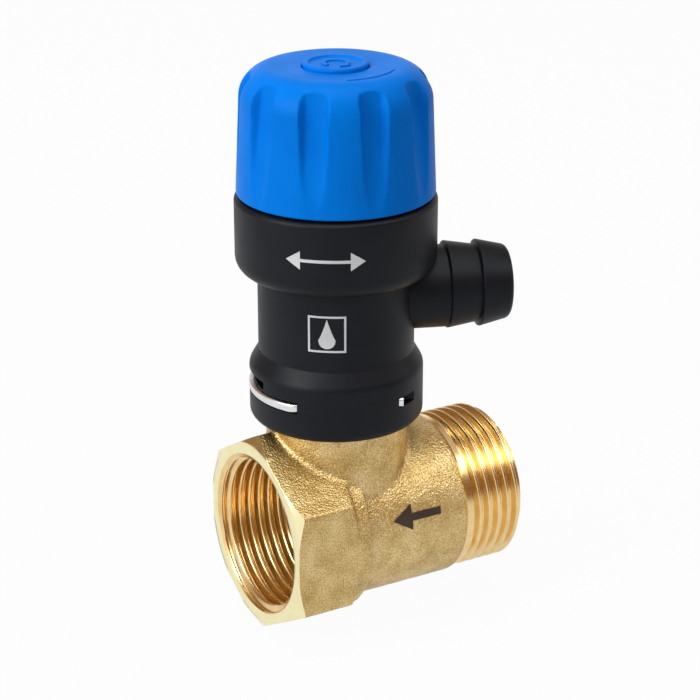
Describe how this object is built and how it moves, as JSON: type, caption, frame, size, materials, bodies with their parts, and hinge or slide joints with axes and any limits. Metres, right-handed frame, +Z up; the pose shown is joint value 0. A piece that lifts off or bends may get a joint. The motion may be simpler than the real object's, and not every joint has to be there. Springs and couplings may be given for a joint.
{
  "type": "combined safety and non-return valve",
  "caption": "Brass water heater valve with threaded run, spring check inside its inlet, and a clip-on relief cartridge with drain barb and a fluted knob that turns to lift the seat",
  "frame": {"origin": "centre of the female socket's mouth, on the axis of the run", "axes": "+X along the run from the socket mouth to the male inlet end, +Z up the branch to the knob, +Y completes a right-handed set"},
  "size_m": [0.0444, 0.032, 0.0939],
  "materials": {
    "cast_brass": "sand-cast and blasted, ends and threads machined bright",
    "turned_brass": "turned",
    "black_plastic": "moulded, satin",
    "blue_plastic": "moulded, satin",
    "spring_steel": "drawn stainless",
    "white_plastic": "moulded acetal",
    "black_rubber": "moulded"
  },
  "bodies": {
    "valve_body": {"brass_body": "cast_brass", "check_cage": "white_plastic", "check_seat": "white_plastic", "check_o_ring": "black_rubber", "snap_ring": "spring_steel", "check_spring": "spring_steel"},
    "check_valve": {"check_poppet": "white_plastic", "poppet_seal": "black_rubber"},
    "cartridge": {"valve_housing": "black_plastic", "retaining_clip": "spring_steel", "neck_o_ring": "black_rubber", "diaphragm": "black_rubber", "spring_bonnet": "black_plastic", "bonnet_ring": "spring_steel", "adjusting_nut": "black_plastic", "main_spring": "spring_steel"},
    "stem": {"lift_stem": "turned_brass", "disc_holder": "turned_brass", "seat_seal": "black_rubber", "spring_plate": "spring_steel", "diaphragm_nut": "turned_brass", "knob_washer": "spring_steel", "knob_screw": "spring_steel"},
    "knob": {"control_knob": "blue_plastic", "knob_cap": "blue_plastic"}
  },
  "joints": [
    {"name": "outlet_swivel", "type": "hinge", "parent": "valve_body", "child": "cartridge", "pos_m": [0.0153, 0, 0.024], "axis": [0, 0, 1], "continuous": true},
    {"name": "stem_lift", "type": "slide", "parent": "cartridge", "child": "stem", "axis": [0, 0, 1], "range_m": [0, 0.0015], "deforming": ["main_spring", "diaphragm"]},
    {"name": "knob_turn", "type": "hinge", "parent": "stem", "child": "knob", "pos_m": [0.0153, 0, 0.07], "axis": [0, 0, 1], "range_deg": [0, 45]},
    {"name": "check_lift", "type": "slide", "parent": "valve_body", "child": "check_valve", "axis": [-1, 0, 0], "range_m": [0, 0.0035], "stiffness_N_per_m": 100, "springref_m": -0.003, "deforming": ["check_spring"]}
  ],
  "couplings": [
    {"joint": "knob_turn", "follows": "stem_lift", "rad_per_m": 523.6}
  ]
}
